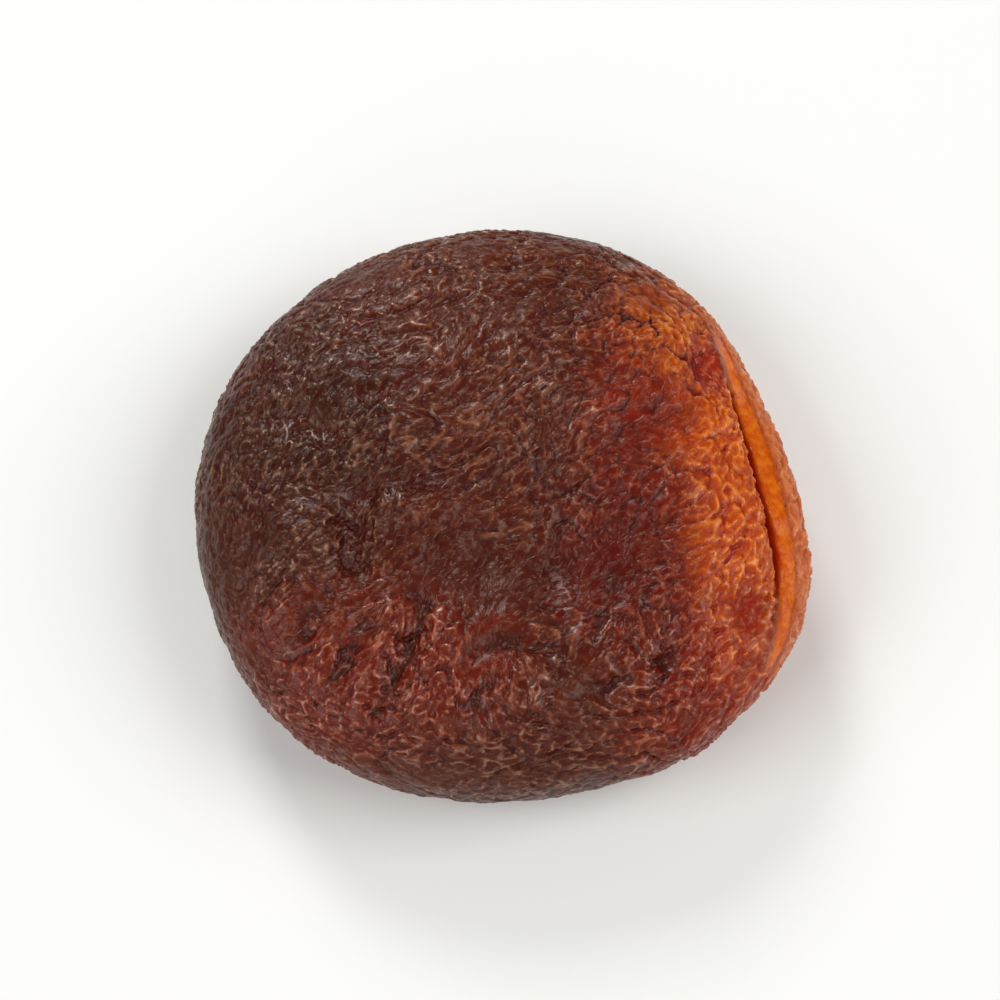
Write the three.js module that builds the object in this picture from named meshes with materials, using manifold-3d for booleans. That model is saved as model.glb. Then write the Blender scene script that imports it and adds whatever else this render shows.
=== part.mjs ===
// A sun-dried apricot, whole and pitted, lying on its lower cheek. Millimetres, +Z up.
// The origin is the middle of the outline, on the surface that the fruit lies on. +X points
// at the slit in the rim through which the stone was pressed out.

import * as THREE from 'three';
import { mergeVertices } from 'three/addons/utils/BufferGeometryUtils.js';
import Module from 'manifold-3d';

// Driving dimensions.
const OUTLINE_RADIUS = 18.75; // mean radius, seen from above
const WAIST_HEIGHT = 5.5; // height of the widest line above the table
const UPPER_RISE = 6.1; // from the widest line up to the plain upper cheek
const LOWER_DROP = 5.75; // from the widest line down to the lower cheek, before the table flattens it
const PLAN_POWER = 0.8; // below 1 the cheeks are flatter than an ellipse's
const RISE_POWER = 0.8; // below 1 the rim is fuller than an ellipse's
const CELLS_ACROSS = 36; // mesh cells across each cheek
const CELLS_UP = 16; // mesh cells from the upper cheek down the rim to the lower one

// Where the outline swells past the mean radius, or falls inside it: degrees and millimetres.
const OUTLINE_SWELLS = [
  { at: -30, wide: 24, by: 1.5 }, // full shoulder at the front end of the slit
  { at: -56, wide: 13, by: 0.7 },
  { at: 18, wide: 22, by: -1.0 }, // flat side along the slit
  { at: 68, wide: 30, by: 0.4 },
  { at: 232, wide: 22, by: 0.65 },
  { at: 270, wide: 30, by: 0.5 },
];

// The slit: a crack that leans in and down, between a full upper lip and a lower lip that
// stands out past it as a shelf.
const SLIT = {
  from: -39, // degrees round the rim
  to: 42,
  frontFade: 26, // degrees over which its front end closes
  backFade: 34,
  turn: 0.98, // where it runs on the section: 0 is the top, a right angle is the waist
  frontDrop: 0.27, // how much nearer the waist it is by dropAt degrees towards the front
  backDrop: 0.09,
  dropAt: 32,
  depth: 3.2,
  mouth: 0.8, // how wide it gapes at the skin
  lean: 62, // degrees below level that it runs inwards
  overshoot: 2, // how far the cutting wedge starts outside the skin
  upperLip: 0.3, // how far the upper lip swells
  lowerLip: 0.5, // how far the rim of the lower lip swells
  shelfDrop: 0.6, // how far the shelf lies under the upper lip
  shelfWidth: 1.3,
  steps: 48,
};

// Broad forms of the two cheeks: middle, half sizes and rise, in millimetres.
const UPPER_FORMS = [
  { x: 0.5, y: 6.8, rx: 13, ry: 6.5, by: 0.8 }, // dome at the back
  { x: -0.6, y: -6.0, rx: 7.2, ry: 4.2, by: -1.55 }, // hollow where the stone was
  { x: -1.5, y: -0.9, rx: 6.0, ry: 1.4, by: -0.4 }, // trough at its back edge
  { x: 7.2, y: -7.0, rx: 3.8, ry: 4.6, by: -0.7 }, // sunken patch beside the slit roll
  { x: -4.2, y: -3.0, rx: 2.6, ry: 1.3, by: 0.75 }, // small bump in the hollow
  { x: -12.2, y: -5.2, rx: 2.8, ry: 2.8, by: 0.75 }, // lobe at the left
  { x: -8.5, y: -4.3, rx: 1.4, ry: 2.6, by: -0.6 }, // pit between that lobe and the hollow
  { x: 15.1, y: -8.9, rx: 1.3, ry: 1.5, by: -1.2 }, // small pit in the upper lip at the front
  { x: 12.9, y: 7.2, rx: 1.2, ry: 1.8, by: -0.9 }, // and one at the back
  { x: 1.0, y: -15.4, rx: 11, ry: 2.4, by: 0.4 }, // front roll
  { x: 12.8, y: -2.0, rx: 3.0, ry: 9.0, by: 0.4 }, // roll beside the slit
];
const LOWER_FORMS = [
  { x: -8.5, y: 9.5, rx: 5.0, ry: 3.6, by: -1.1 },
  { x: 10.5, y: 6.5, rx: 3.6, ry: 5.0, by: -0.9 },
  { x: 3.0, y: -12.5, rx: 6.0, ry: 2.8, by: -1.0 },
  { x: -13.0, y: -4.5, rx: 3.0, ry: 5.0, by: -0.8 },
];

// Creases of the two cheeks: the line that each follows in plan, its depth and half width.
const UPPER_CREASES = [
  { line: [[-8.4, -1.6], [-5.1, -0.9], [-1.3, -0.5], [1.8, -1.0], [4.8, -1.2]], deep: 0.7, wide: 0.7 },
  { line: [[-7.8, -1.6], [-8.8, -4.2], [-8.3, -6.6]], deep: 0.6, wide: 0.8 },
  { line: [[-4.4, -8.4], [-4.9, -10.9], [-6.8, -15.6]], deep: 0.85, wide: 0.7 },
  { line: [[-7.3, -8.9], [-8.4, -11.2], [-10.6, -15.0]], deep: 0.65, wide: 0.7 },
  { line: [[-10.0, -8.0], [-11.4, -10.3], [-13.2, -12.8]], deep: 0.55, wide: 0.7 },
  { line: [[-13.2, -7.2], [-14.6, -8.8], [-15.8, -10.0]], deep: 0.5, wide: 0.7 },
  { line: [[-1.9, -12.8], [-1.0, -11.5], [0.9, -11.1], [3.0, -11.7], [3.9, -13.2]], deep: 0.6, wide: 0.7 },
  { line: [[-0.2, -12.6], [-0.9, -14.8], [-1.7, -17.0]], deep: 0.6, wide: 0.7 },
  { line: [[3.1, -15.2], [5.2, -14.2], [7.8, -13.4]], deep: 0.6, wide: 0.7 },
  { line: [[3.2, -16.4], [5.2, -17.0], [7.6, -16.8]], deep: 0.45, wide: 0.7 },
  { line: [[11.0, -9.0], [10.4, -12.0], [9.0, -15.0]], deep: 0.55, wide: 0.7 },
  { line: [[13.4, -8.2], [13.2, -10.9], [12.2, -13.8]], deep: 0.45, wide: 0.7 },
  { line: [[4.6, -2.5], [3.6, -4.9], [3.2, -9.0]], deep: 0.45, wide: 0.8 },
  { line: [[-13.9, -2.6], [-15.0, -5.6], [-15.2, -8.4]], deep: 0.4, wide: 0.6 },
  { line: [[-8.5, 12.3], [-2.7, 14.4], [4.5, 14.3], [9.5, 12.4]], deep: 0.3, wide: 0.6 },
  { line: [[-9.3, 8.8], [-4.1, 11.2], [1.5, 11.8]], deep: 0.3, wide: 0.6 },
  { line: [[-13.2, -7.6], [-11.0, -7.2], [-8.4, -6.4], [-7.0, -7.2], [-4.6, -8.4]], deep: 0.4, wide: 0.6 },
  { line: [[-14.6, 4.0], [-10.4, 2.2], [-6.6, 0.8]], deep: 0.35, wide: 0.8 },
];
const LOWER_CREASES = [
  { line: [[-5.5, 7.0], [-8.6, 10.2], [-10.4, 14.6]], deep: 0.8, wide: 0.8 },
  { line: [[-8.2, 1.4], [-12.4, 2.6], [-16.8, 2.2]], deep: 0.7, wide: 0.8 },
  { line: [[-6.8, -6.2], [-9.6, -9.8], [-10.6, -14.4]], deep: 0.8, wide: 0.8 },
  { line: [[0.6, -8.4], [1.8, -12.4], [0.4, -17.0]], deep: 0.7, wide: 0.8 },
  { line: [[7.4, -5.2], [11.0, -8.6], [14.6, -10.6]], deep: 0.7, wide: 0.8 },
  { line: [[8.2, 2.6], [12.0, 5.4], [14.4, 9.2]], deep: 0.7, wide: 0.8 },
  { line: [[1.4, 8.2], [2.6, 12.6], [1.6, 17.0]], deep: 0.7, wide: 0.8 },
];

// Wrinkles of the drying skin, in millimetres. They slant across the middle, run with the
// rim round the edge and fan out over the front left.
const WRINKLE = {
  height: 0.2,
  spacing: 2.3,
  slant: 40, // degrees from +X that the crests across the middle run
  sway: 1.1, // how far they stray
  swayLength: 8.5,
  fanCount: 44, // crests of the fan in a full turn
  rimFrom: 12.5, // plan radius at which the rim's own wrinkles start
  rimFull: 16.5,
};

const DEGREE = Math.PI / 180;
const smooth = THREE.MathUtils.smoothstep;
const hill = (distance) => Math.exp(-distance * distance);

/** Signed difference of two angles in degrees, from -180 to 180. */
function turnBetween(a, b) {
  return THREE.MathUtils.euclideanModulo(a - b + 180, 360) - 180;
}

/** Radius of the outline at an angle in degrees round the fruit. */
function outlineRadius(angle) {
  return OUTLINE_SWELLS.reduce(
    (radius, swell) => radius + swell.by * hill(turnBetween(angle, swell.at) / swell.wide),
    OUTLINE_RADIUS,
  );
}

/** Point of the plain section, as radius and height, at a turn from 0 (top) to pi (bottom). */
function plainSection(radius, turn) {
  const across = Math.pow(Math.max(Math.sin(turn), 0), PLAN_POWER);
  const up = Math.cos(turn);
  const reach = up > 0 ? UPPER_RISE : -LOWER_DROP;
  return new THREE.Vector2(radius * across, WAIST_HEIGHT + reach * Math.pow(Math.abs(up), RISE_POWER));
}

/** How open the slit is at an angle in degrees: 1 along its middle, 0 past its ends. */
function slitOpenness(angle) {
  const a = turnBetween(angle, 0);
  const closing = 1 - smooth(a, SLIT.to - SLIT.backFade, SLIT.to);
  return smooth(a, SLIT.from, SLIT.from + SLIT.frontFade) * closing;
}

/** Where the slit crosses the plain section at an angle in degrees. */
function slitPoint(angle) {
  const a = turnBetween(angle, 0);
  const drop = (a < 0 ? SLIT.frontDrop : SLIT.backDrop) * (a / SLIT.dropAt) ** 2;
  return plainSection(outlineRadius(angle), SLIT.turn + drop);
}

/** How far the lips of the slit stand out of the plain section, or lie inside it. */
function lipRise(angle, point) {
  const open = slitOpenness(angle);
  if (open === 0) return 0;
  const slit = slitPoint(angle);
  const below = Math.sign(slit.y - point.y) * point.distanceTo(slit);
  const lips = SLIT.upperLip * hill((below + 1.2) / 1.0) + SLIT.lowerLip * hill((below - 2.5) / 0.9);
  const shelfEnd = 1 - smooth(below, SLIT.shelfWidth, 2.2 * SLIT.shelfWidth);
  const shelf = SLIT.shelfDrop * smooth(below, -0.3, 0.5) * shelfEnd;
  return open * (lips - shelf);
}

/** Distance in plan from a point to a crease's line, and how far along it the nearest point is. */
function creaseDistance(x, y, line) {
  let best = { distance: Infinity, along: 0 };
  for (let i = 1; i < line.length; i++) {
    const [ax, ay] = line[i - 1];
    const [bx, by] = line[i];
    const lengthSquared = (bx - ax) ** 2 + (by - ay) ** 2;
    const share = THREE.MathUtils.clamp(((x - ax) * (bx - ax) + (y - ay) * (by - ay)) / lengthSquared, 0, 1);
    const distance = Math.hypot(x - ax - share * (bx - ax), y - ay - share * (by - ay));
    if (distance < best.distance) best = { distance, along: (i - 1 + share) / (line.length - 1) };
  }
  return best;
}

/** Rise of one cheek over the plain section at a point in plan: broad forms less creases. */
function cheekRise(x, y, forms, creases) {
  const swelling = forms.reduce(
    (rise, f) => rise + f.by * Math.exp(-(((x - f.x) / f.rx) ** 2) - ((y - f.y) / f.ry) ** 2),
    0,
  );
  return creases.reduce((rise, crease) => {
    const { distance, along } = creaseDistance(x, y, crease.line);
    const runOut = Math.sqrt(Math.sin(Math.PI * (0.1 + 0.8 * along)));
    return rise - crease.deep * runOut * hill(distance / crease.wide);
  }, swelling);
}

/** A slow, smooth stray about zero, different for each seed. */
function stray(x, y, z, seed) {
  const k = (2 * Math.PI) / WRINKLE.swayLength;
  return (
    Math.sin(k * (x + 0.7 * y) + 1.7 * seed) +
    0.6 * Math.sin(k * (1.9 * y - 1.1 * x + z) + 2.9 * seed) +
    0.4 * Math.sin(k * (2.9 * x + 1.4 * y - 2 * z) + 4.1 * seed)
  );
}

/** Height of the wrinkles at a point of the skin, about zero: round crests, sharp valleys. */
function wrinkleHeight(x, y, z) {
  const radius = Math.hypot(x, y);
  const angle = Math.atan2(y, x);
  const k = (2 * Math.PI) / WRINKLE.spacing;
  const sway = WRINKLE.sway * k;
  const slant = WRINKLE.slant * DEGREE;
  const crest = (phase) => 2 * Math.abs(Math.sin(phase / 2)) - 1.27;

  const slanted = crest(k * (y * Math.cos(slant) - x * Math.sin(slant)) + sway * stray(x, y, z, 1));
  const crossing = crest(0.8 * k * (x * Math.cos(slant) + 0.6 * y) + sway * stray(x, y, z, 2));
  const alongRim = crest(k * (radius - z) + 0.9 * sway * stray(x, y, z, 3));
  const fan = crest(WRINKLE.fanCount * angle + 0.8 * sway * stray(x, y, z, 4));

  const rim = smooth(radius, WRINKLE.rimFrom, WRINKLE.rimFull);
  const fanned = hill(turnBetween(angle / DEGREE, 238) / 38) * smooth(radius, 6, 10);
  const middle = (1 - rim) * (1 - fanned) * (0.75 * slanted + 0.45 * crossing);
  const edge = rim * (1 - 0.6 * fanned) * (0.6 * alongRim + 0.4 * crossing);
  return WRINKLE.height * (middle + edge + fanned * fan);
}

/** Skin point in the direction of a unit vector from the middle of the fruit. */
function skinPoint(direction) {
  const angle = Math.atan2(direction.y, direction.x);
  const turn = Math.acos(THREE.MathUtils.clamp(direction.z, -1, 1));
  const flat = plainSection(outlineRadius(angle / DEGREE), turn);
  const lip = lipRise(angle / DEGREE, flat);
  const point = new THREE.Vector3(flat.x * Math.cos(angle), flat.x * Math.sin(angle), flat.y);

  const upper = turn < Math.PI / 2;
  const onCheek = smooth(Math.abs(flat.y - WAIST_HEIGHT) / (upper ? UPPER_RISE : LOWER_DROP), 0.25, 0.85);
  const forms = upper ? UPPER_FORMS : LOWER_FORMS;
  const creases = upper ? UPPER_CREASES : LOWER_CREASES;
  point.z += onCheek * cheekRise(point.x, point.y, forms, creases) * (upper ? 1 : -1);

  const outwards = new THREE.Vector3(point.x, point.y, 2.4 * (flat.y - WAIST_HEIGHT)).normalize();
  point.addScaledVector(outwards, lip + wrinkleHeight(point.x, point.y, point.z));
  point.z = Math.max(point.z, 0);
  return point;
}

/** The skin as one closed mesh, wrapped from a box so that its cells are nearly even. */
function skinGeometry() {
  const box = new THREE.BoxGeometry(2, 2, 2, CELLS_ACROSS, CELLS_ACROSS, CELLS_UP);
  box.deleteAttribute('normal');
  box.deleteAttribute('uv');
  const geometry = mergeVertices(box, 1e-4);
  const position = geometry.getAttribute('position');
  const corner = new THREE.Vector3();
  for (let i = 0; i < position.count; i++) {
    corner.fromBufferAttribute(position, i);
    const spread = [corner.x, corner.y, corner.z].map((c) => Math.tan((c * Math.PI) / 4));
    const point = skinPoint(new THREE.Vector3(...spread).normalize());
    position.setXYZ(i, point.x, point.y, point.z);
  }
  return geometry;
}

/** The wedge that cuts the crack: a three-cornered section swept round the rim. */
function crackGeometry() {
  const inwards = new THREE.Vector2(-Math.cos(SLIT.lean * DEGREE), -Math.sin(SLIT.lean * DEGREE));
  const across = new THREE.Vector2(-inwards.y, inwards.x);
  const corners = [];
  for (let i = 0; i <= SLIT.steps; i++) {
    const angle = THREE.MathUtils.lerp(SLIT.from, SLIT.to, i / SLIT.steps);
    const depth = THREE.MathUtils.lerp(-0.6 * SLIT.overshoot, SLIT.depth, slitOpenness(angle));
    const half = (0.5 * SLIT.mouth * (depth + SLIT.overshoot)) / SLIT.depth;
    const slit = slitPoint(angle);
    const tip = slit.clone().addScaledVector(inwards, depth);
    const mouth = slit.clone().addScaledVector(inwards, -SLIT.overshoot);
    const upper = mouth.clone().addScaledVector(across, half);
    const lower = mouth.clone().addScaledVector(across, -half);
    for (const p of [tip, upper, lower]) {
      corners.push(p.x * Math.cos(angle * DEGREE), p.x * Math.sin(angle * DEGREE), p.y);
    }
  }
  const faces = [0, 1, 2];
  for (let i = 0; i < SLIT.steps; i++) {
    for (let j = 0; j < 3; j++) {
      const [a, b] = [3 * i + j, 3 * i + ((j + 1) % 3)];
      faces.push(a, a + 3, b, b, a + 3, b + 3);
    }
  }
  const last = 3 * SLIT.steps;
  faces.push(last, last + 2, last + 1);
  const geometry = new THREE.BufferGeometry();
  geometry.setAttribute('position', new THREE.BufferAttribute(new Float32Array(corners), 3));
  geometry.setIndex(faces);
  return geometry;
}

const wasm = await Module();
wasm.setup();

/** A closed geometry as a solid that can be cut. */
function solidOf(geometry) {
  const vertProperties = new Float32Array(geometry.getAttribute('position').array);
  const triVerts = new Uint32Array(geometry.getIndex().array);
  return new wasm.Manifold(new wasm.Mesh({ numProp: 3, vertProperties, triVerts }));
}

/** A solid's surface as a geometry, standing on z = 0 with its outline centred. */
function geometryOf(solid) {
  const { vertProperties, triVerts } = solid.getMesh();
  const geometry = new THREE.BufferGeometry();
  geometry.setAttribute('position', new THREE.BufferAttribute(vertProperties, 3));
  geometry.setIndex(new THREE.BufferAttribute(triVerts, 1));
  geometry.computeBoundingBox();
  const middle = geometry.boundingBox.getCenter(new THREE.Vector3());
  geometry.translate(-middle.x, -middle.y, -geometry.boundingBox.min.z);
  return geometry;
}

/** Dark, semi-gloss skin. */
function skinMaterial() {
  return new THREE.MeshStandardMaterial({ color: 0x6b3122, roughness: 0.42, metalness: 0 });
}

const apricot = new THREE.Mesh(
  geometryOf(solidOf(skinGeometry()).subtract(solidOf(crackGeometry()))),
  skinMaterial(),
);
apricot.name = 'apricot';

const fruit = new THREE.Group();
fruit.add(apricot);

export default fruit;
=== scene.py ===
"""A sun-dried apricot, whole and pitted, lying on its lower cheek on a pale surface.

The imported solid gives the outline, the folds and the slit. The visible skin starts as a merged
copy of that solid, is remeshed finely, and then grows the crinkle of drying skin: crests that
branch and join, and that run along the rim, slant across the middle or fan out over the front.
"""

import logging
import math
from dataclasses import dataclass
from enum import Enum
from typing import ClassVar, Union

import bpy
import numpy as np
from mathutils import Matrix, Vector


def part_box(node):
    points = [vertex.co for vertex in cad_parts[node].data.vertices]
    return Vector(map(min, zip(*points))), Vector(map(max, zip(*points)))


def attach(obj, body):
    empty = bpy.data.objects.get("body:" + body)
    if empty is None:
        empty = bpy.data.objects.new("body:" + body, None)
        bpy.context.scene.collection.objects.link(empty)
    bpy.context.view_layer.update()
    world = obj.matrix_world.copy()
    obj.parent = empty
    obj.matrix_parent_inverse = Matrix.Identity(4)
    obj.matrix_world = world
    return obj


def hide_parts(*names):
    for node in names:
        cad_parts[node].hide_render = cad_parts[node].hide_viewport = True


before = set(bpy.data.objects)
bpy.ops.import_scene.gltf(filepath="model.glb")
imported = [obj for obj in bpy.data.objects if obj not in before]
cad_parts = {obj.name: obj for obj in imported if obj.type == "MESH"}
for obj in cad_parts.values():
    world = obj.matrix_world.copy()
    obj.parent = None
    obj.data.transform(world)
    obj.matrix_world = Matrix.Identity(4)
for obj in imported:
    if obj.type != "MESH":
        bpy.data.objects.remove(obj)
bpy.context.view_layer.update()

LOG = logging.getLogger("dried_apricot")
MILLIMETRE = 0.001
NODE = "apricot"


def smoothstep(values: np.ndarray, low: float, high: float) -> np.ndarray:
    """Soft step of an array.

    Args:
        values: Any numbers.
        low: Where the step leaves 0.
        high: Where it reaches 1. Lower than low, the step falls.

    Returns:
        Numbers from 0 to 1.
    """
    share = np.clip((values - low) / (high - low), 0.0, 1.0)
    return share * share * (3.0 - 2.0 * share)


def hill(values: np.ndarray) -> np.ndarray:
    """Bell curve of an array, 1 at zero."""
    return np.exp(-values * values)


@dataclass(frozen=True)
class Swell:
    """A place where the outline stands out past the mean radius."""

    at: float
    wide: float
    by: float


@dataclass(frozen=True)
class Section:
    """The plain form of the fruit, in millimetres, before folds and wrinkles."""

    radius: float = 18.75
    waist: float = 5.5
    rise: float = 6.1
    power: float = 0.8
    centre_shift: tuple[float, float] = (0.17, -0.13)
    swells: tuple[Swell, ...] = (
        Swell(-30, 24, 1.5),
        Swell(-56, 13, 0.7),
        Swell(18, 22, -1.0),
        Swell(68, 30, 0.4),
        Swell(232, 22, 0.65),
        Swell(270, 30, 0.5),
    )

    def outline(self, angle: np.ndarray) -> np.ndarray:
        """Radius of the outline at angles in degrees."""
        radius = np.full_like(angle, self.radius)
        for swell in self.swells:
            turned = (angle - swell.at + 180.0) % 360.0 - 180.0
            radius += swell.by * hill(turned / swell.wide)
        return radius

    def place(self, angle: np.ndarray, turn: np.ndarray) -> tuple[np.ndarray, np.ndarray]:
        """A point of the upper section.

        Args:
            angle: Degrees round the fruit.
            turn: Radians down the section from the top.

        Returns:
            Plan radius and height.
        """
        radius = self.outline(angle) * np.sin(turn) ** self.power
        return radius, self.waist + self.rise * np.maximum(np.cos(turn), 0.0) ** self.power


@dataclass(frozen=True)
class Slit:
    """The crack in the rim that the stone was pressed out of, and the flesh beside it.

    Angles are in degrees round the fruit and lengths in millimetres. The turn and the drops are
    in radians down the section.
    """

    start: float = -39.0
    end: float = 42.0
    near: float = 46.0
    front_fade: float = 26.0
    back_fade: float = 34.0
    turn: float = 0.98
    front_drop: float = 0.27
    back_drop: float = 0.09
    drop_at: float = 32.0
    lean: float = 62.0
    reach: float = 6.0
    flesh_wide: float = 1.65
    flesh_deep: float = 1.2
    lip_to: float = 3.4
    lip_fade: float = 1.2
    inside_from: float = 0.35
    inside_fade: float = 0.4
    wall_from: float = 0.75
    wall_full: float = 0.45
    seam_half: float = 0.32
    lower_seam_half: float = 0.16

    def openness(self, angle: np.ndarray) -> np.ndarray:
        """How open the slit is at angles in degrees: 1 along its middle, 0 past its ends."""
        opening = smoothstep(angle, self.start, self.start + self.front_fade)
        return opening * (1.0 - smoothstep(angle, self.end - self.back_fade, self.end))

    def path(self, angle: np.ndarray, section: Section) -> tuple[np.ndarray, np.ndarray]:
        """Plan radius and height of the slit at angles in degrees."""
        drop = np.where(angle < 0.0, self.front_drop, self.back_drop)
        return section.place(angle, self.turn + drop * (angle / self.drop_at) ** 2)

    def marks(self, points: np.ndarray, section: Section) -> tuple[np.ndarray, ...]:
        """Where the bare flesh shows.

        Args:
            points: Points of the skin, in millimetres.
            section: The plain form that the slit is cut in.

        Returns:
            The share of bare flesh, of crack wall, of the skin's edge beside the flesh, and of
            the seam where the upper lip meets the flesh.
        """
        x, y = points[:, 0] + section.centre_shift[0], points[:, 1] + section.centre_shift[1]
        angle = np.degrees(np.arctan2(y, x))
        near = np.abs(angle) < self.near
        safe = np.where(near, angle, 0.0)
        slit_radius, slit_height = self.path(safe, section)
        out, up = np.hypot(x, y) - slit_radius, points[:, 2] - slit_height
        lean = math.radians(self.lean)
        depth = -out * math.cos(lean) - up * math.sin(lean)
        below = out * math.sin(lean) - up * math.cos(lean)
        opened = self.openness(angle) * near
        close = smoothstep(np.hypot(out, up), self.reach, self.reach - 1.0)
        inside = np.sqrt(opened) * close
        inside *= smoothstep(depth, self.inside_from, self.inside_from + self.inside_fade)
        inside *= smoothstep(np.abs(below), self.wall_from, self.wall_full)
        shown = smoothstep(opened, 0.0, 0.12) * close
        wide = self.flesh_wide * (0.45 + 0.55 * np.sqrt(opened))
        strip = smoothstep(below, -0.25, 0.05) * smoothstep(below - wide, 0.15, -0.15)
        flesh = shown * strip * smoothstep(depth, self.flesh_deep, self.flesh_deep / 2.0)
        edge = shown * smoothstep(below - wide, -0.1, 0.25)
        edge *= smoothstep(below, self.lip_to, self.lip_to - self.lip_fade)
        # The seam mask marks the crack's mouth, where the finish paints a dark line of shade, and
        # faintly the flesh strip's lower edge.
        seam = smoothstep(angle, self.start, self.start + 8.0)
        seam *= smoothstep(angle, self.end + 2.0, self.end - 6.0)
        lines = hill((below + 0.05) / self.seam_half)
        lines += 0.5 * hill((below - wide) / self.lower_seam_half)
        seam = seam * near * close * np.clip(lines, 0.0, 1.0)
        return flesh, inside, edge, seam


class SkinGraph:
    """The fine skin mesh as numbers: who borders whom, and how much each neighbour counts."""

    NEAREST = 1e-6
    PULL = 0.6

    def __init__(self, mesh: bpy.types.Mesh) -> None:
        """Reads a mesh whose points are in millimetres."""
        self.count = len(mesh.vertices)
        self.mesh = mesh
        edges = np.empty(len(mesh.edges) * 2, np.int32)
        mesh.edges.foreach_get("vertices", edges)
        edges = edges.reshape(-1, 2)
        sizes = np.empty(len(mesh.polygons), np.int32)
        mesh.polygons.foreach_get("loop_total", sizes)
        starts = np.empty(len(mesh.polygons), np.int32)
        mesh.polygons.foreach_get("loop_start", starts)
        corners = np.empty(len(mesh.loops), np.int32)
        mesh.loops.foreach_get("vertex_index", corners)
        first = starts[sizes == 4]
        across = [np.stack([corners[first + i], corners[first + i + 2]], 1) for i in (0, 1)]
        pairs = np.concatenate([edges, *across])
        self.here = np.concatenate([pairs[:, 0], pairs[:, 1]])
        self.there = np.concatenate([pairs[:, 1], pairs[:, 0]])
        self.points = self.read_points()
        self.weights = self.even_weights()

    def read_points(self) -> np.ndarray:
        """The mesh's points, one row each."""
        points = np.empty(self.count * 3, np.float32)
        self.mesh.vertices.foreach_get("co", points)
        return points.reshape(-1, 3).astype(np.float64)

    def normals(self) -> np.ndarray:
        """The mesh's point normals, one row each."""
        normals = np.empty(self.count * 3, np.float32)
        self.mesh.vertex_normals.foreach_get("vector", normals)
        return normals.reshape(-1, 3).astype(np.float64)

    def move(self, points: np.ndarray) -> None:
        """Puts the mesh's points at new places."""
        self.points = points
        self.mesh.vertices.foreach_set("co", points.astype(np.float32).ravel())
        self.mesh.update()

    def share(self, weights: np.ndarray) -> np.ndarray:
        """Scales neighbour weights so that each point's add up to 1."""
        total = np.bincount(self.here, weights=weights, minlength=self.count)
        return weights / np.maximum(total[self.here], 1e-12)

    def even_weights(self) -> np.ndarray:
        """Weights that count near neighbours most, the same in every direction."""
        offset = self.points[self.there] - self.points[self.here]
        return self.share(1.0 / np.maximum((offset**2).sum(1), self.NEAREST))

    def grained_weights(self, crests: np.ndarray, stretch: float) -> np.ndarray:
        """Weights that blur a field along the crests more than across them.

        Args:
            crests: Direction of the crests at each point.
            stretch: How much more a neighbour along the crest counts than one across it.

        Returns:
            One weight for each pair of neighbours.
        """
        offset = self.points[self.there] - self.points[self.here]
        length_squared = np.maximum((offset**2).sum(1), self.NEAREST)
        along = (offset * crests[self.here]).sum(1) ** 2 / length_squared
        return self.share((1.0 + (stretch - 1.0) * along**4) / length_squared)

    def blur(self, values: np.ndarray, steps: int, weights: np.ndarray) -> np.ndarray:
        """Softens a field, or each column of one: every step pulls a point to its neighbours."""
        if values.ndim == 2:
            return np.stack([self.blur(column, steps, weights) for column in values.T], 1)
        for _ in range(steps):
            mean = np.bincount(self.here, weights=weights * values[self.there], minlength=self.count)
            values = values + self.PULL * (mean - values)
        return values


@dataclass(frozen=True)
class Crinkle:
    """One size of wrinkle: lines that wander along the skin's grain, branch and run out.

    The height is in millimetres, and below zero the lines are sunk.
    """

    CONTRAST: ClassVar[float] = 1.3

    name: str
    seed: int
    fine_steps: int
    broad_steps: int
    rounds: int
    stretch: float
    height: float
    width: float

    def grow(self, graph: SkinGraph, crests: np.ndarray) -> np.ndarray:
        """Grows the lines out of seeded noise.

        Args:
            graph: The skin.
            crests: Direction that the lines run in at each point.

        Returns:
            How much of a line lies at each point, from 0 to 1.
        """
        weights = graph.grained_weights(crests, self.stretch)
        field = np.random.default_rng(self.seed).standard_normal(graph.count)
        for _ in range(self.rounds):
            fine = graph.blur(field, self.fine_steps, weights)
            field = fine - graph.blur(fine, self.broad_steps - self.fine_steps, weights)
            field = np.tanh(self.CONTRAST * field / max(float(field.std()), 1e-9))
        fine = graph.blur(field, 1, weights)
        return hill(fine / (self.width * fine.std()))


@dataclass(frozen=True)
class Calm:
    """A place where the skin stays smoother, in plan, in millimetres."""

    x: float
    y: float
    half_x: float
    half_y: float
    share: float

    def at(self, points: np.ndarray) -> np.ndarray:
        """How much of the crinkle is left at each point."""
        across = (points[:, 0] - self.x) / self.half_x
        along = (points[:, 1] - self.y) / self.half_y
        return 1.0 - self.share * hill(np.hypot(across, along))


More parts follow.
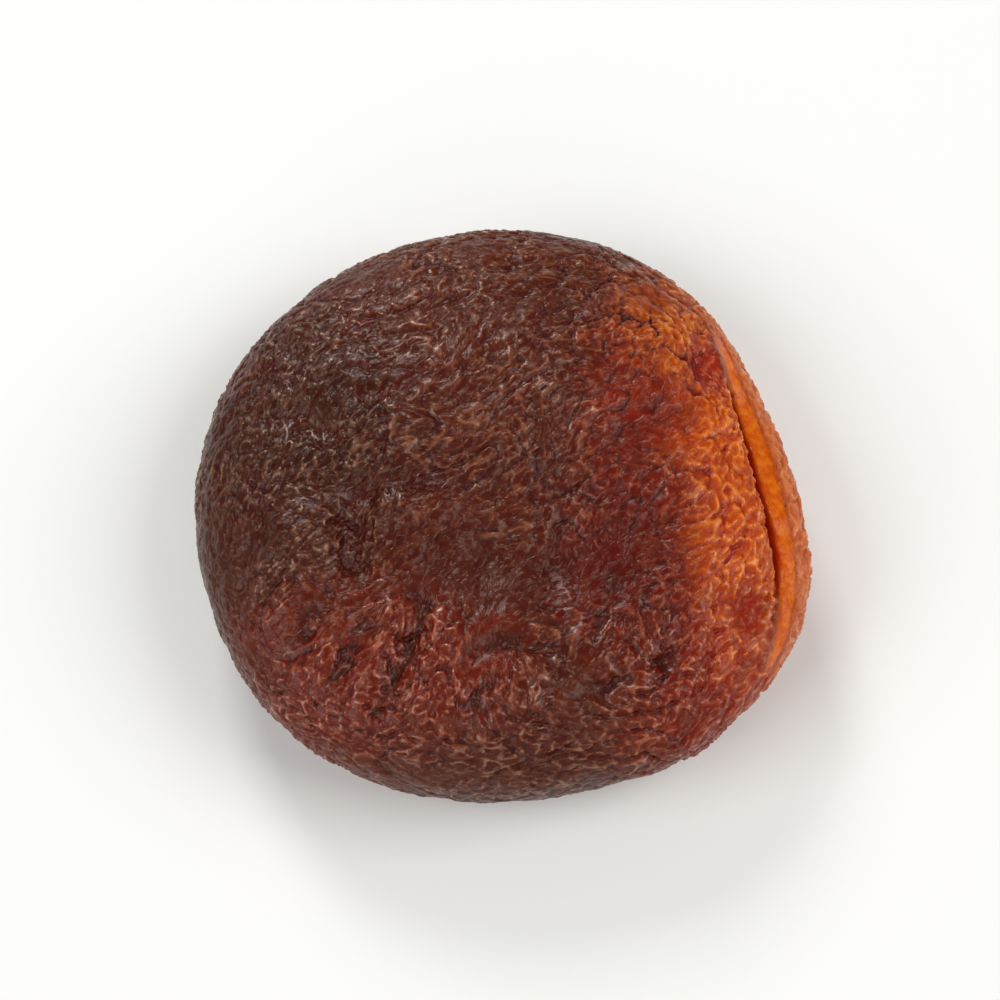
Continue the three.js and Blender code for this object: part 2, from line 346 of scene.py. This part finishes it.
class Skin:
    """The fruit's visible skin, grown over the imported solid.

    Lengths are in millimetres and angles in degrees. The steps say how often a field is softened:
    more steps reach farther over the skin.
    """

    CELL = 0.155
    TRIANGLES = 196000
    NORMAL_STEPS = 6
    HOLLOW_STEPS = 30
    SWELL_STEPS = 60
    PLUMP_STEPS = 220
    PINCH = 1.1
    PINCH_UP_TO = 0.4
    DEEP_HOLLOW = 0.16
    FULL_SWELL = 0.3
    RUCK_SHADE = 0.65
    RIM_FROM = 11.0
    RIM_FULL = 16.5
    FAN_AT = 238.0
    FAN_HALF = 42.0
    FAN_PULL = 1.3
    MIDDLE_SLANT = 42.0
    LEAST_CRINKLE = 0.35
    MOST_CRINKLE = 1.3
    SMOOTH_WHERE_BARE = 0.92
    SMOOTH_WHERE_PRESSED = 0.85
    FOLD = Crinkle(
        "fold", seed=11, fine_steps=60, broad_steps=210, rounds=2, stretch=6.0, height=-0.18, width=0.40
    )
    RUCK = Crinkle(
        "ruck", seed=23, fine_steps=22, broad_steps=76, rounds=2, stretch=8.0, height=-0.09, width=0.60
    )
    CRINKLE = Crinkle(
        "crinkle", seed=37, fine_steps=8, broad_steps=28, rounds=2, stretch=12.0, height=0.12, width=0.90
    )
    CALMS = (
        Calm(-0.8, -6.6, 4.4, 2.2, 0.75),
        Calm(-17.8, -6.5, 2.4, 7.5, 0.75),
        Calm(0.0, -19.0, 12.0, 2.6, 0.3),
        Calm(7.4, -7.4, 3.4, 3.4, 0.35),
    )

    def __init__(self, section: Section, slit: Slit) -> None:
        """Keeps the plain form and the slit that the marks are placed by."""
        self.section = section
        self.slit = slit

    def apply(self, piece: bpy.types.Object, kind: str, **settings: object) -> None:
        """Adds one modifier and applies it.

        Args:
            piece: The object to change.
            kind: The modifier's type.
            settings: Values of its properties.
        """
        modifier = piece.modifiers.new(kind.title(), kind)
        for name, value in settings.items():
            setattr(modifier, name, value)
        bpy.ops.object.modifier_apply(modifier=modifier.name)

    def start(self) -> bpy.types.Object:
        """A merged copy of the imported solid, in millimetres, remeshed finely.

        Returns:
            The new piece, selected and active.
        """
        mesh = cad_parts[NODE].data.copy()
        mesh.name = "dried_apricot"
        mesh.transform(Matrix.Scale(1.0 / MILLIMETRE, 4))
        piece = bpy.data.objects.new("dried_apricot", mesh)
        bpy.context.scene.collection.objects.link(piece)
        bpy.ops.object.select_all(action="DESELECT")
        piece.select_set(True)
        bpy.context.view_layer.objects.active = piece
        bpy.ops.object.mode_set(mode="EDIT")
        bpy.ops.mesh.select_all(action="SELECT")
        bpy.ops.mesh.remove_doubles(threshold=0.0005)
        bpy.ops.mesh.tris_convert_to_quads()
        bpy.ops.object.mode_set(mode="OBJECT")
        self.apply(piece, "SUBSURF", levels=2, render_levels=2)
        self.apply(piece, "REMESH", mode="VOXEL", voxel_size=self.CELL)
        self.apply(piece, "SMOOTH", factor=0.5, iterations=4)
        LOG.info("fine skin: %d points, %d faces", len(piece.data.vertices), len(piece.data.polygons))
        return piece

    def crest_directions(
        self, points: np.ndarray, normals: np.ndarray
    ) -> tuple[np.ndarray, np.ndarray]:
        """Direction that the crests run in: round the rim, slanting in the middle, fanned in front.

        Args:
            points: Points of the skin, in millimetres.
            normals: Their normals.

        Returns:
            One unit vector in the skin for each point, and its heading in plan, in radians.
        """
        x, y = points[:, 0], points[:, 1]
        radius, angle = np.hypot(x, y), np.arctan2(y, x)
        rim = smoothstep(radius, self.RIM_FROM, self.RIM_FULL)
        turned = (np.degrees(angle) - self.FAN_AT + 180.0) % 360.0 - 180.0
        fan = hill(turned / self.FAN_HALF) * smoothstep(radius, 5.0, 9.0)
        fan *= smoothstep(radius, 18.5, 16.0)
        sway = 0.35 * np.sin(0.55 * x + 0.31 * y) + 0.3 * np.sin(0.83 * y - 0.4 * x + 1.0)
        doubled = (1.0 - rim) * (1.0 - fan) * np.exp(2j * (math.radians(self.MIDDLE_SLANT) + sway))
        doubled += rim * (1.0 - 0.8 * fan) * np.exp(2j * (angle + math.pi / 2 + 0.4 * sway))
        doubled += self.FAN_PULL * fan * np.exp(2j * (angle + 0.5 * sway))
        heading = np.angle(doubled) / 2.0
        crests = np.stack([np.cos(heading), np.sin(heading), np.zeros_like(heading)], 1)
        crests -= normals * (crests * normals).sum(1)[:, None]
        return crests / np.maximum(np.linalg.norm(crests, axis=1), 1e-6)[:, None], heading

    def write(self, mesh: bpy.types.Mesh, name: str, values: np.ndarray) -> None:
        """Stores one number for each point of the mesh under a name."""
        attribute = mesh.attributes.new(name, "FLOAT", "POINT")
        attribute.data.foreach_set("value", values.astype(np.float32))

    def grow(self, piece: bpy.types.Object) -> None:
        """Grows the wrinkles and stores the marks that the finish reads."""
        graph = SkinGraph(piece.data)
        points, normals = graph.points, graph.normals()
        even = graph.weights
        smooth_normals = graph.blur(normals, self.NORMAL_STEPS, even)
        smooth_normals /= np.linalg.norm(smooth_normals, axis=1)[:, None]
        crests, heading = self.crest_directions(points, smooth_normals)
        flesh, inside, edge, seam = self.slit.marks(points, self.section)
        bare = np.clip(flesh + inside, 0.0, 1.0)
        fullness = (1.0 - self.SMOOTH_WHERE_BARE * bare) * self.evenness(graph, normals)

        hollow = ((graph.blur(points, self.HOLLOW_STEPS, even) - points) * smooth_normals).sum(1)
        rise = -self.PINCH * np.clip(hollow, 0.0, self.PINCH_UP_TO) * (1.0 - bare)
        lines = {}
        for size in (self.FOLD, self.RUCK, self.CRINKLE):
            line = size.grow(graph, crests)
            LOG.info("%s grown: mean %.2f", size.name, float(line.mean()))
            rise = rise + size.height * fullness * (line - line.mean())
            lines[size.name] = line * np.clip(1.4 * fullness, 0.0, 1.0)
        points = points + smooth_normals * rise[:, None]
        points[:, 2] = np.maximum(points[:, 2], 0.0)
        graph.move(points)
        marks = {"flesh": flesh, "inside": inside, "edge": edge, "seam": seam}
        # The crest mark later carries a painted sheen.
        marks["crest"] = lines["crinkle"]
        # The crease mark, from the fold and ruck lines and the sunken places, later carries painted
        # shade.
        creases = np.maximum(lines["fold"], self.RUCK_SHADE * lines["ruck"])
        marks["crease"] = np.clip(creases + hollow / self.DEEP_HOLLOW, 0.0, 1.0)
        marks["lean_x"], marks["lean_y"] = np.cos(2.0 * heading), np.sin(2.0 * heading)
        # The swell mark tells broad hollows from bulges: the finish paints shade in the hollows and
        # sheen on the bulges.
        swell = ((points - graph.blur(points, self.SWELL_STEPS, even)) * graph.normals()).sum(1)
        marks["swell"] = np.clip(0.5 + 0.5 * swell / self.FULL_SWELL, 0.0, 1.0)
        for name, values in marks.items():
            self.write(graph.mesh, name, values)

    def evenness(self, graph: SkinGraph, normals: np.ndarray) -> np.ndarray:
        """How strongly the skin crinkles: unevenly, less where it is calm or pressed flat.

        Args:
            graph: The skin.
            normals: The skin's normals.

        Returns:
            A share for each point.
        """
        points = graph.points
        plump = np.random.default_rng(5).standard_normal(graph.count)
        plump = graph.blur(plump, self.PLUMP_STEPS, graph.weights)
        share = 0.85 + 0.25 * plump / plump.std()
        share = np.clip(share, self.LEAST_CRINKLE, self.MOST_CRINKLE)
        for calm in self.CALMS:
            share = share * calm.at(points)
        pressed = smoothstep(points[:, 2], 0.7, 0.1) * smoothstep(normals[:, 2], -0.6, -0.9)
        return share * (1.0 - self.SMOOTH_WHERE_PRESSED * pressed)

    def build(self) -> bpy.types.Object:
        """Makes the whole skin.

        Returns:
            The finished piece, in metres, with its place in its mesh.
        """
        piece = self.start()
        self.grow(piece)
        share = self.TRIANGLES / (2.0 * len(piece.data.polygons))
        self.apply(piece, "DECIMATE", ratio=share, use_collapse_triangulate=True)
        piece.data.transform(Matrix.Scale(MILLIMETRE, 4))
        bpy.ops.object.shade_smooth()
        return piece


Number = Union["Value", float]


class Value:
    """A socket of a shader graph that can be used in sums."""

    def __init__(self, graph: "ShaderGraph", socket: bpy.types.NodeSocket) -> None:
        """Wraps an output socket of a graph's node."""
        self.graph = graph
        self.socket = socket

    def maths(self, operation: str, *others: Number) -> "Value":
        """Adds one Math node fed by this value and the others."""
        inputs = dict(enumerate((self, *others)))
        return self.graph.node("ShaderNodeMath", {"operation": operation}, inputs)

    def __add__(self, other: Number) -> "Value":
        """Sum."""
        return self.maths("ADD", other)

    def __radd__(self, other: Number) -> "Value":
        """Sum, with the number first."""
        return self.maths("ADD", other)

    def __sub__(self, other: Number) -> "Value":
        """Difference."""
        return self.maths("SUBTRACT", other)

    def __rsub__(self, other: Number) -> "Value":
        """Difference from a number."""
        inputs = {0: other, 1: self}
        return self.graph.node("ShaderNodeMath", {"operation": "SUBTRACT"}, inputs)

    def __mul__(self, other: Number) -> "Value":
        """Product."""
        return self.maths("MULTIPLY", other)

    def __rmul__(self, other: Number) -> "Value":
        """Product, with the number first."""
        return self.maths("MULTIPLY", other)

    def step(self, low: float, high: float) -> "Value":
        """Soft step from 0 at low to 1 at high, held at both ends."""
        return self.graph.node(
            "ShaderNodeMapRange",
            {"interpolation_type": "SMOOTHSTEP"},
            {"Value": self, "From Min": low, "From Max": high, "To Min": 0.0, "To Max": 1.0},
        )


class ShaderGraph:
    """One material's nodes, made by plain calls."""

    def __init__(self, name: str) -> None:
        """Starts a material with an empty graph."""
        self.material = bpy.data.materials.new(name)
        self.material.use_nodes = True
        self.tree = self.material.node_tree
        self.tree.nodes.clear()

    def node(
        self,
        kind: str,
        settings: dict[str, object] | None = None,
        inputs: dict[int | str, object] | None = None,
        output: int | str = 0,
    ) -> Value:
        """Adds any node.

        Args:
            kind: The node's type.
            settings: Its properties, set before its sockets.
            inputs: Values or links of its sockets, by name or number.
            output: Which of its outputs is wanted.

        Returns:
            That output.
        """
        made = self.tree.nodes.new(kind)
        for name, value in (settings or {}).items():
            setattr(made, name, value)
        for key, value in (inputs or {}).items():
            if isinstance(value, Value):
                self.tree.links.new(value.socket, made.inputs[key])
            else:
                made.inputs[key].default_value = value
        return Value(self, made.outputs[output])

    def mix(self, share: Number, first: object, second: object, blend: str = "MIX") -> Value:
        """Mixes two colours.

        Args:
            share: How much of the second, from 0 to 1.
            first: A colour or a link.
            second: A colour or a link.
            blend: The Mix node's blend type.

        Returns:
            The mixed colour.
        """
        settings = {"data_type": "RGBA", "blend_type": blend, "clamp_factor": True}
        return self.node("ShaderNodeMix", settings, {0: share, 6: first, 7: second}, 2)

    def attribute(self, name: str) -> Value:
        """A number stored on the mesh's points."""
        return self.node("ShaderNodeAttribute", {"attribute_name": name}, output="Fac")

    def noise(self, place: Value, size: float, detail: float = 2.0, roughness: float = 0.5) -> Value:
        """Smooth noise with lumps of about the given size, in metres."""
        inputs = {"Vector": place, "Scale": 1.0 / size, "Detail": detail, "Roughness": roughness}
        return self.node("ShaderNodeTexNoise", None, inputs, "Fac")


Colour = tuple[float, float, float, float]


def srgb(red: int, green: int, blue: int) -> Colour:
    """A screen colour from 0 to 255 as the linear colour that shaders use."""
    shares = [value / 255.0 for value in (red, green, blue)]
    linear = [s / 12.92 if s <= 0.04045 else ((s + 0.055) / 1.055) ** 2.4 for s in shares]
    return (linear[0], linear[1], linear[2], 1.0)


@dataclass(frozen=True)
class Patch:
    """A soft-edged patch of colour on the skin, placed in plan, in millimetres."""

    x: float
    y: float
    half_x: float
    half_y: float
    colour: Colour
    strength: float


@dataclass(frozen=True)
class SkinFields:
    """What the surface says of itself at each point, for the finish to read."""

    STORED: ClassVar[tuple[str, ...]] = (
        "crest", "crease", "swell", "flesh", "inside", "edge", "seam",
    )

    place: Value
    speck: Value
    ridges: Value
    crest: Value
    crease: Value
    swell: Value
    flesh: Value
    inside: Value
    edge: Value
    seam: Value

    def thin(self) -> Value:
        """The crests' narrow tops."""
        return self.crest.step(0.5, 1.0)

    def bulge(self) -> Value:
        """The broad bulges between folds."""
        return self.swell.step(0.55, 0.9)


@dataclass(frozen=True)
class SkinFinish:
    """Dried skin: mahogany, orange round the slit, dark red in its creases and hollows from painted
    shade, pale on its crests from a painted sheen.

    Sizes and places are in metres, and shares and strengths go from 0 to 1. Noise breaks the
    patches' edges, more where they are more ragged. The sheen share sets how strongly the painted sheen
    pales the crests and bulges.
    """

    body: Colour = srgb(98, 40, 17)
    dark: Colour = srgb(92, 29, 12)
    # Painted shade, partly the skin's redder colour: multiplied into the gaps between crests.
    gap_shade: Colour = srgb(186, 86, 68)
    # Painted shade: dark red, and dark orange on the right, that fill the creases and broad hollows.
    crease_shade: Colour = srgb(64, 9, 6)
    crease_shade_orange: Colour = srgb(150, 26, 4)
    # Painted sheen: the pale tan screened over crest tops and bulges.
    sheen_tan: Colour = srgb(132, 98, 68)
    flesh: Colour = srgb(206, 82, 0)
    flesh_pale: Colour = srgb(226, 116, 6)
    crack: Colour = srgb(178, 42, 6)
    edge: Colour = srgb(208, 120, 70)
    # Painted shade: the dark red line along the crack's mouth.
    seam: Colour = srgb(112, 26, 8)
    patches: tuple[Patch, ...] = (
        Patch(14.5, -1.0, 9.5, 19.0, srgb(166, 46, 5), 0.85),
        Patch(17.5, 1.0, 7.0, 15.0, srgb(230, 114, 8), 0.9),
        Patch(14.0, 11.5, 6.0, 6.5, srgb(226, 126, 24), 0.7),
        Patch(7.5, -6.0, 5.0, 8.0, srgb(100, 9, 4), 0.85),
        # Painted shadow: a dark patch on the left side, standing for shade cast over it by a
        # neighbouring fruit.
        Patch(-12.0, 2.0, 7.5, 9.0, srgb(56, 19, 10), 0.85),
        Patch(-18.5, -6.0, 3.4, 9.0, srgb(80, 42, 26), 0.8),
        Patch(-7.0, -12.5, 9.5, 5.5, srgb(130, 38, 18), 0.8),
        Patch(-0.8, -6.6, 4.6, 2.6, srgb(88, 38, 22), 0.6),
        Patch(0.0, 16.5, 11.0, 4.2, srgb(108, 50, 18), 0.6),
        Patch(0.0, -20.0, 12.0, 3.4, srgb(88, 44, 30), 0.7),
        Patch(14.4, -5.2, 3.2, 5.5, srgb(224, 112, 10), 0.6),
        Patch(12.9, 7.6, 1.4, 2.6, srgb(160, 12, 8), 0.8),
        Patch(15.0, -8.6, 1.3, 1.8, srgb(120, 12, 6), 0.8),
    )
    blotch_size: float = 0.0055
    streak_size: float = 0.0013
    speck_size: float = 0.0005
    ridge_size: float = 0.0006
    grain_size: float = 0.00013
    grain_share: float = 0.25
    ridge_stretch: float = 1.9
    ridge_sharpness: float = 9.0
    slant_step: float = 45.0
    stray_scale: float = 1300.0
    stray_by: float = 0.0004
    ragged: float = 1.8
    # Strengths of the painted shade between crests and in creases and hollows.
    gap_shade_share: float = 0.9
    crease_shade_strength: float = 0.8
    # Strengths of the painted highlight and the painted sheen on crests and bulges.
    highlight_share: float = 0.4
    sheen_share: float = 0.6
    seam_share: float = 0.8
    orange_from: float = 0.009
    orange_full: float = 0.0145
    roughness: float = 0.25
    specular: float = 0.3
    specular_tint: Colour = (1.0, 0.84, 0.68, 1.0)
    ior: float = 1.45
    coat_roughness: float = 0.22
    coat_ior: float = 1.55
    glow: float = 0.15
    glow_radius: tuple[float, float, float] = (1.0, 0.32, 0.12)
    glow_scale: float = 0.0008
    bump_strength: float = 0.8
    bump_distance: float = 0.00009

    def build(self) -> bpy.types.Material:
        """Makes the material.

        Returns:
            The finished material.
        """
        graph = ShaderGraph("dried_apricot_skin")
        place = graph.node("ShaderNodeTexCoord", output="Object")
        fields = SkinFields(
            place=place,
            speck=graph.noise(place, self.speck_size, 2.0, 0.6),
            ridges=self.ridges(graph, place),
            **{name: graph.attribute(name) for name in SkinFields.STORED},
        )
        shader = graph.tree.nodes.new("ShaderNodeBsdfPrincipled")
        varying = {
            "Base Color": self.colour(graph, fields),
            "Roughness": self.dullness(fields),
            "Coat Weight": self.gloss(fields),
            "Normal": self.bump(graph, fields),
        }
        for socket, value in varying.items():
            graph.tree.links.new(value.socket, shader.inputs[socket])
        constant = {
            "IOR": self.ior,
            "Specular IOR Level": self.specular,
            "Specular Tint": self.specular_tint,
            "Coat Roughness": self.coat_roughness,
            "Coat IOR": self.coat_ior,
            "Subsurface Weight": self.glow,
            "Subsurface Radius": self.glow_radius,
            "Subsurface Scale": self.glow_scale,
        }
        for socket, number in constant.items():
            shader.inputs[socket].default_value = number
        output = graph.tree.nodes.new("ShaderNodeOutputMaterial")
        graph.tree.links.new(shader.outputs[0], output.inputs["Surface"])
        return graph.material

    def colour(self, graph: ShaderGraph, fields: SkinFields) -> Value:
        """The skin's colour: zones, then painted shade in gaps and creases, a painted sheen on crests,
        and the bare flesh and crack.

        Args:
            graph: The graph to add nodes to.
            fields: What the surface says of itself.

        Returns:
            A colour.
        """
        crest, crease, swell, speck = fields.crest, fields.crease, fields.swell, fields.speck
        blotch = graph.noise(fields.place, self.blotch_size, 3.0, 0.55)
        streak = graph.noise(fields.place, self.streak_size, 2.0, 0.6)
        colour = self.zones(graph, fields.place, blotch + 0.7 * streak - 0.35)
        # Painted shade: the gaps between crests are darkened and reddened, where shade falls among the
        # wrinkles.
        between = self.gap_shade_share - self.gap_shade_share * crest
        colour = graph.mix(between, colour, self.gap_shade, "MULTIPLY")
        # Painted shade: creases and broad hollows turn dark red, darkest in folds and sunken places.
        crease_shade_mask = crease * 0.8 + (1.0 - swell.step(0.2, 0.55)) * 0.8
        right = self.axes(graph, fields.place)[0].step(self.orange_from, self.orange_full)
        crease_shade = graph.mix(right, self.crease_shade, self.crease_shade_orange)
        colour = graph.mix(crease_shade_mask * self.crease_shade_strength, colour, crease_shade)
        # Painted highlight and sheen: crest tops, ridges and bulges are brightened and paled, less in
        # creases.
        crest_sheen = (0.2 + 0.8 * speck) * (fields.ridges * 0.4 + fields.thin())
        crest_sheen = crest_sheen * (1.0 - 0.75 * crease) * (0.75 + 0.6 * fields.bulge())
        painted_highlight = graph.mix(1.0, colour, colour, "SCREEN")
        colour = graph.mix(crest_sheen * self.highlight_share, colour, painted_highlight)
        colour = graph.mix(crest_sheen * self.sheen_share, colour, self.sheen_tan, "SCREEN")
        colour = graph.mix(fields.edge * (0.35 + 0.4 * crest), colour, self.edge)
        pale = graph.mix(speck.step(0.35, 0.7), self.flesh, self.flesh_pale)
        colour = graph.mix(fields.flesh, colour, pale)
        # Painted shade: a dark red line along the crack's mouth; the same colour runs fainter along the
        # flesh strip's lower edge.
        colour = graph.mix(fields.seam * self.seam_share, colour, self.seam)
        return graph.mix(fields.inside, colour, self.crack)

    def dullness(self, fields: SkinFields) -> Value:
        """Roughness: a little more in specks and between crests, less in the crack and flesh."""
        rough = self.roughness + 0.2 * (fields.speck - 0.5) + 0.1 * (1.0 - fields.crest)
        return rough - 0.1 * fields.inside - 0.06 * fields.flesh

    def gloss(self, fields: SkinFields) -> Value:
        """Share of the sticky shine: on crests and bulges, hardly in hollows or on bare flesh."""
        on_crests = (0.1 + 0.85 * fields.thin() + 0.35 * fields.ridges) * (0.15 + fields.speck)
        on_swells = 0.35 + 0.35 * fields.swell.step(0.2, 0.5) + 0.6 * fields.bulge()
        shine = on_crests * (1.0 - 0.8 * fields.flesh) * on_swells
        return shine.maths("MINIMUM", 1.0)

    def axes(self, graph: ShaderGraph, place: Value) -> tuple[Value, Value]:
        """The place in plan, as two numbers in metres."""
        split = graph.tree.nodes.new("ShaderNodeSeparateXYZ")
        graph.tree.links.new(place.socket, split.inputs[0])
        return Value(graph, split.outputs["X"]), Value(graph, split.outputs["Y"])

    def zones(self, graph: ShaderGraph, place: Value, blotch: Value) -> Value:
        """The slow drift of colour over the fruit, from its patches.

        Args:
            graph: The graph to add nodes to.
            place: Object coordinates.
            blotch: Noise that breaks the patches' edges.

        Returns:
            A colour.
        """
        colour = graph.mix(blotch.step(0.3, 0.75), self.body, self.dark)
        x, y = self.axes(graph, place)
        for patch in self.patches:
            across = (x - patch.x * MILLIMETRE) * (1.0 / (patch.half_x * MILLIMETRE))
            along = (y - patch.y * MILLIMETRE) * (1.0 / (patch.half_y * MILLIMETRE))
            distance = across * across + along * along + (blotch - 0.5) * self.ragged
            share = (1.0 - distance.step(-0.2, 1.6)) * patch.strength
            colour = graph.mix(share, colour, patch.colour)
        return colour

    def bump(self, graph: ShaderGraph, fields: SkinFields) -> Value:
        """The finest crinkle and grain, too small for the mesh.

        Args:
            graph: The graph to add nodes to.
            fields: What the surface says of itself.

        Returns:
            A normal.
        """
        grain = graph.noise(fields.place, self.grain_size, 1.0, 0.5)
        height = (fields.ridges + grain * self.grain_share) * (1.0 - 0.8 * fields.flesh)
        inputs = {"Strength": self.bump_strength, "Distance": self.bump_distance, "Height": height}
        return graph.node("ShaderNodeBump", None, inputs)

    def ridges(self, graph: ShaderGraph, place: Value) -> Value:
        """Thin wandering crests that follow the skin's own grain.

        Two of four slanted patterns are mixed at each point, by how near the grain there is to
        the slant of each.

        Args:
            graph: The graph to add nodes to.
            place: Object coordinates.

        Returns:
            A height from 0 to 1.
        """
        lean_x, lean_y = graph.attribute("lean_x"), graph.attribute("lean_y")
        inputs = {"Vector": place, "Scale": self.stray_scale, "Detail": 1.0}
        stray = graph.node("ShaderNodeTexNoise", None, inputs, "Color")
        inputs = {0: stray, "Scale": self.stray_by}
        stray = graph.node("ShaderNodeVectorMath", {"operation": "SCALE"}, inputs)
        place = graph.node("ShaderNodeVectorMath", {"operation": "ADD"}, {0: place, 1: stray})
        height = None
        for slant, share in enumerate((lean_x, lean_y, lean_x * -1.0, lean_y * -1.0)):
            share = share.maths("MAXIMUM", 0.0)
            turn = (0.0, 0.0, math.radians(self.slant_step * slant))
            inputs = {"Vector": place, "Rotation": turn, "Scale": (self.ridge_stretch, 1.0, 1.0)}
            turned = graph.node("ShaderNodeMapping", {"vector_type": "TEXTURE"}, inputs)
            field = graph.noise(turned, self.ridge_size, 1.0, 0.4)
            slope = (field - 0.5).maths("ABSOLUTE") * self.ridge_sharpness
            ridge = 1.0 - slope.maths("MINIMUM", 1.0)
            part = share * share * ridge
            height = part if height is None else height + part
        return height


class Light(Enum):
    """The studio's lamps: where each stands in metres, its size, and its power in watts."""

    BEHIND = ((-0.18, 0.50, 0.42), 0.2, 1.6)
    LEFT = ((-0.62, -0.30, 0.62), 0.6, 3.9)
    RIGHT = ((0.62, -0.06, 0.62), 0.6, 3.9)
    FRONT = ((0.0, -0.72, 0.46), 0.6, 1.1)


@dataclass(frozen=True)
class Studio:
    """The pale surface, the light and the camera, in metres and degrees, the lens in millimetres."""

    elevation: float = 65.0
    lens: float = 90.0
    sensor: float = 36.0
    fill: float = 0.2
    framed_width: float = 0.062
    clip_start: float = 0.01
    clip_end: float = 20.0
    floor_size: float = 4.0
    floor_drop: float = 0.00002
    floor_colour: Colour = (0.93, 0.93, 0.9, 1.0)
    floor_roughness: float = 0.6

    def floor(self) -> None:
        """Adds the pale surface that the fruit lies on."""
        bpy.ops.object.select_all(action="DESELECT")
        place = (0.0, 0.0, -self.floor_drop)
        bpy.ops.mesh.primitive_plane_add(size=self.floor_size, location=place)
        floor = bpy.context.active_object
        floor.name = "floor"
        bpy.ops.object.transform_apply(location=True, rotation=True, scale=True)
        graph = ShaderGraph("pale_floor")
        shader = graph.tree.nodes.new("ShaderNodeBsdfPrincipled")
        shader.inputs["Base Color"].default_value = self.floor_colour
        shader.inputs["Roughness"].default_value = self.floor_roughness
        output = graph.tree.nodes.new("ShaderNodeOutputMaterial")
        graph.tree.links.new(shader.outputs[0], output.inputs["Surface"])
        floor.data.materials.append(graph.material)

    def lights(self) -> None:
        """Adds the lamps and the even light of the room."""
        for lamp in Light:
            place, size, power = lamp.value
            data = bpy.data.lights.new(lamp.name.lower(), "AREA")
            data.size = size
            data.energy = power
            stand = bpy.data.objects.new(data.name, data)
            stand.location = place
            stand.rotation_euler = (-Vector(place)).to_track_quat("-Z", "Y").to_euler()
            bpy.context.scene.collection.objects.link(stand)
        world = bpy.data.worlds.new("room")
        world.use_nodes = True
        background = world.node_tree.nodes["Background"]
        background.inputs["Color"].default_value = (1.0, 1.0, 1.0, 1.0)
        background.inputs["Strength"].default_value = self.fill
        bpy.context.scene.world = world
        bpy.context.scene.view_settings.view_transform = "Standard"

    def camera(self) -> None:
        """Aims the camera at the middle of the fruit from the photograph's height."""
        low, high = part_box(NODE)
        middle = (low + high) / 2.0
        tilt = math.radians(self.elevation)
        back = Vector((0.0, -math.cos(tilt), math.sin(tilt)))
        data = bpy.data.cameras.new("camera")
        data.lens = self.lens
        data.sensor_width = self.sensor
        camera = bpy.data.objects.new("camera", data)
        distance = self.framed_width * self.lens / self.sensor
        camera.location = middle + back * distance
        camera.rotation_euler = (-back).to_track_quat("-Z", "Y").to_euler()
        data.clip_start = self.clip_start
        data.clip_end = self.clip_end
        bpy.context.scene.collection.objects.link(camera)
        bpy.context.scene.camera = camera


def main() -> None:
    """Builds the fruit, the surface under it, the light and the camera."""
    studio = Studio()
    studio.camera()
    studio.floor()
    studio.lights()
    skin = Skin(Section(), Slit()).build()
    skin.data.materials.clear()
    skin.data.materials.append(SkinFinish().build())
    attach(skin, "root")
    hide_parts(NODE)
    LOG.info("%s: %d faces", skin.name, len(skin.data.polygons))


if __name__ == "__main__":
    logging.basicConfig(level=logging.INFO, format="%(message)s")
    main()
